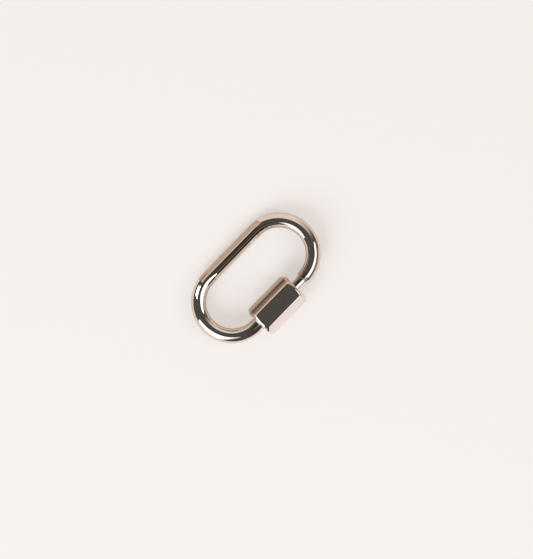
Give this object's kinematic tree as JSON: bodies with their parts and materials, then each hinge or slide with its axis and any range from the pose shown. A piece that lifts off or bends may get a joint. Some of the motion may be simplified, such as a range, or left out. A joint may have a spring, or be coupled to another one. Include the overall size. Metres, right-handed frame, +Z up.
{
  "type": "screw-lock carabiner",
  "caption": "Oval wire link with a gate in one long side, closed by a hexagonal threaded sleeve; it joins chains, rings or cords and lies flat on a table.",
  "frame": {"origin": "on the surface that the link lies on, under the middle of its box", "axes": "+X along the link, towards the bend with the plain neck, which is the way the sleeve opens; +Y from the gate side to the plain side; +Z up from the surface"},
  "size_m": [0.026, 0.0162, 0.0055],
  "materials": {
    "polished_metal": "polished"
  },
  "bodies": {
    "loop": {"wire_loop": "polished_metal"},
    "sleeve": {"sleeve_nut": "polished_metal"}
  },
  "joints": [
    {"name": "sleeve_travel", "type": "slide", "parent": "loop", "child": "sleeve", "axis": [1, 0, 0], "range_m": [0, 0.0036]}
  ]
}
